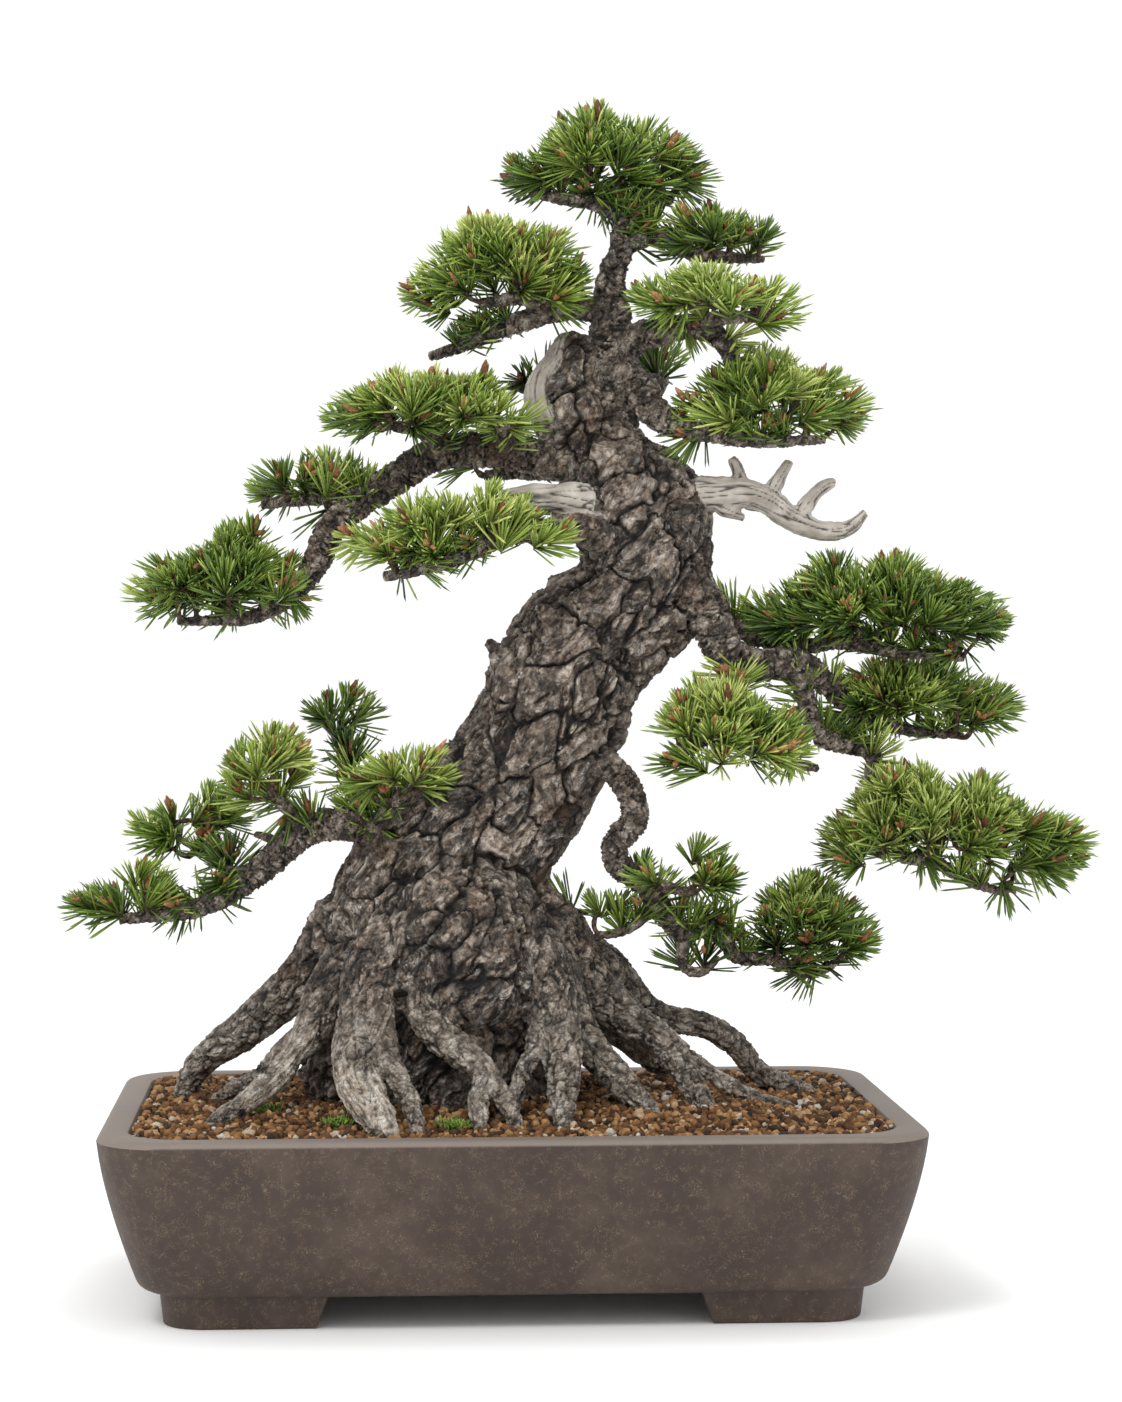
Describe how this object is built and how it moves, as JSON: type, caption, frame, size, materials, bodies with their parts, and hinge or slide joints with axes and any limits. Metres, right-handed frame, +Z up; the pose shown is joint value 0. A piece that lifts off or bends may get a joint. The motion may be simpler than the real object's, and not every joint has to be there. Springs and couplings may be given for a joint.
{
  "type": "bonsai tree in a pot",
  "caption": "Old pine bonsai with a leaning trunk, spreading surface roots and needle pads, in a rectangular brown stoneware pot.",
  "frame": {"origin": "on the surface that the pot's feet stand on, under the middle of the whole object's box", "axes": "+Z up, the front of the tree faces -Y, +X to the right seen from the front"},
  "size_m": [0.6516, 0.3394, 0.7525],
  "materials": {
    "pot_clay": "matt unglazed stoneware",
    "soil_grains": "loose fired-clay grains",
    "bark": "flaky bark and bleached deadwood",
    "needles": "pine needles",
    "moss": "moss",
    "screen_mesh": "moulded mesh",
    "clip_wire": "brown anodised wire"
  },
  "bodies": {
    "root": {"drain_screen_left": "screen_mesh", "drain_screen_right": "screen_mesh", "moss_front": "moss", "moss_left": "moss", "moss_middle": "moss", "needles_apex": "needles", "needles_back_left": "needles", "needles_back_low": "needles", "needles_back_right": "needles", "needles_front": "needles", "needles_great_front": "needles", "needles_great_low": "needles", "needles_great_middle": "needles", "needles_great_top": "needles", "needles_hanging_left": "needles", "needles_hanging_middle": "needles", "needles_hanging_tip": "needles", "needles_high_left": "needles", "needles_high_left_back": "needles", "needles_high_right": "needles", "needles_low_left_back": "needles", "needles_low_left_front": "needles", "needles_low_left_inner": "needles", "needles_low_left_tip": "needles", "needles_low_left_upper": "needles", "needles_mid_left_back": "needles", "needles_mid_left_crown": "needles", "needles_mid_left_tip": "needles", "needles_right": "needles", "needles_shoulder": "needles", "needles_small_back": "needles", "pot": "pot_clay", "screen_clip_left": "clip_wire", "screen_clip_right": "clip_wire", "soil": "soil_grains", "trunk_roots_and_branches": "bark"}
  },
  "joints": []
}
